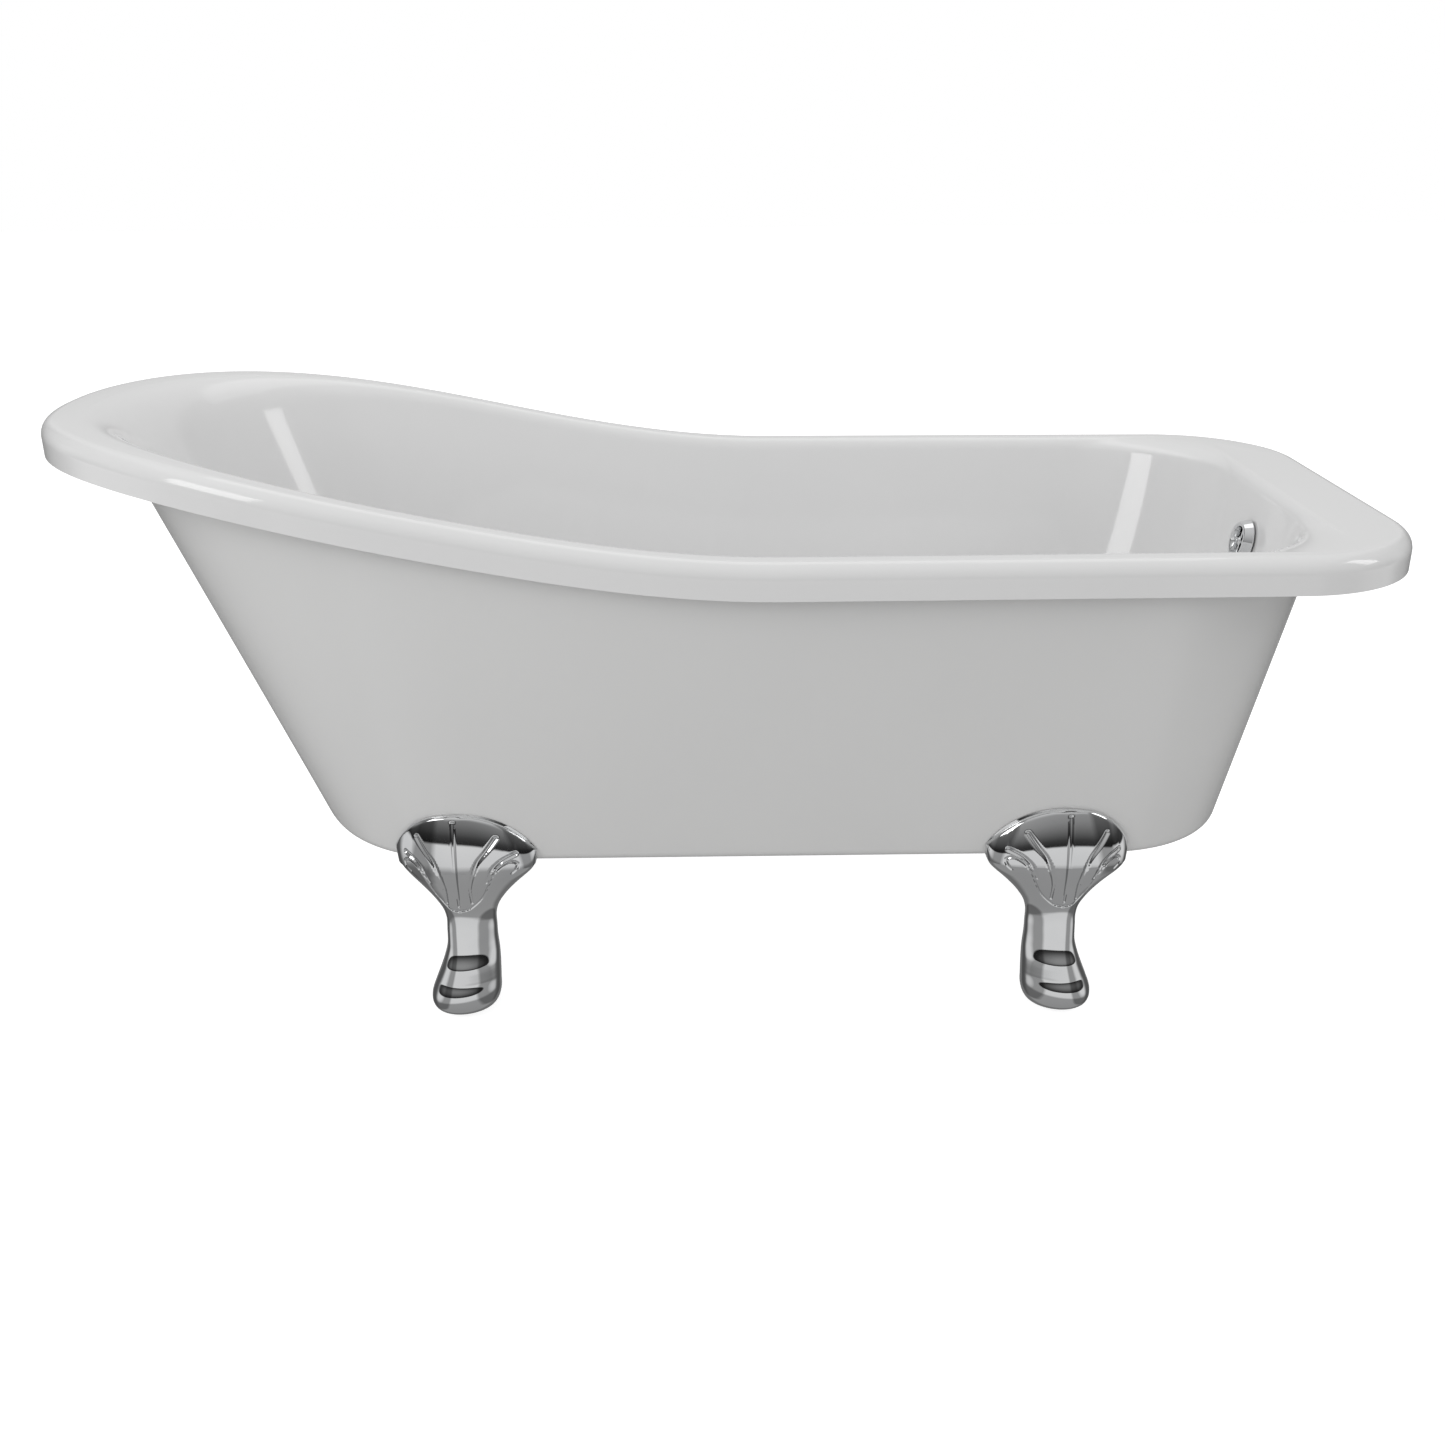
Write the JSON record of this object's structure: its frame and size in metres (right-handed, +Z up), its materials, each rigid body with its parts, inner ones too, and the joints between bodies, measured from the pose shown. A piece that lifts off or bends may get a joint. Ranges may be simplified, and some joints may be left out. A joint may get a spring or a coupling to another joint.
{
  "type": "freestanding bathtub",
  "caption": "Double-skinned freestanding slipper bath with a roll-top rim, a flat tap deck and cast scallop-shell feet.",
  "frame": {"origin": "on the floor, under the middle of the rim's length and width", "axes": "+X towards the tap end, +Y to the far side, +Z up"},
  "size_m": [1.7, 0.74, 0.771],
  "materials": {
    "white_acrylic": "polished white acrylic",
    "skin_acrylic": "polished white acrylic",
    "plywood": "raw birch plywood",
    "timber": "sawn softwood",
    "foot_chrome": "bright chrome over a casting",
    "trim_chrome": "bright chrome over brass",
    "zinc_steel": "bright zinc plate",
    "brass": "turned brass",
    "dark_plastic": "moulded plastic",
    "rubber": "matt black rubber"
  },
  "bodies": {
    "bath": {"basin": "white_acrylic", "outer_skin": "skin_acrylic", "base_board": "plywood", "head_bearer": "timber", "tap_bearer": "timber", "deck_board": "plywood", "foot_head_near": "foot_chrome", "foot_head_far": "foot_chrome", "foot_tap_near": "foot_chrome", "foot_tap_far": "foot_chrome", "foot_pads": "rubber", "foot_bolts": "zinc_steel", "foot_washers": "zinc_steel", "foot_tee_nuts": "zinc_steel", "bearer_screws": "zinc_steel", "overflow_rose": "trim_chrome", "overflow_washer": "rubber", "overflow_screw": "trim_chrome", "overflow_gasket": "rubber", "overflow_body": "dark_plastic", "overflow_downpipe": "brass", "overflow_elbow": "dark_plastic", "overflow_level_pipe": "brass", "pipe_nut": "brass", "waste_flange": "trim_chrome", "waste_washer": "rubber", "waste_gasket": "rubber", "waste_body": "brass"},
    "plug": {"plug_cap": "trim_chrome", "plug_seal": "rubber", "plug_stem": "brass"}
  },
  "joints": [
    {"name": "plug_lift", "type": "slide", "parent": "bath", "child": "plug", "axis": [0, 0, 1], "range_m": [0, 0.01]}
  ]
}
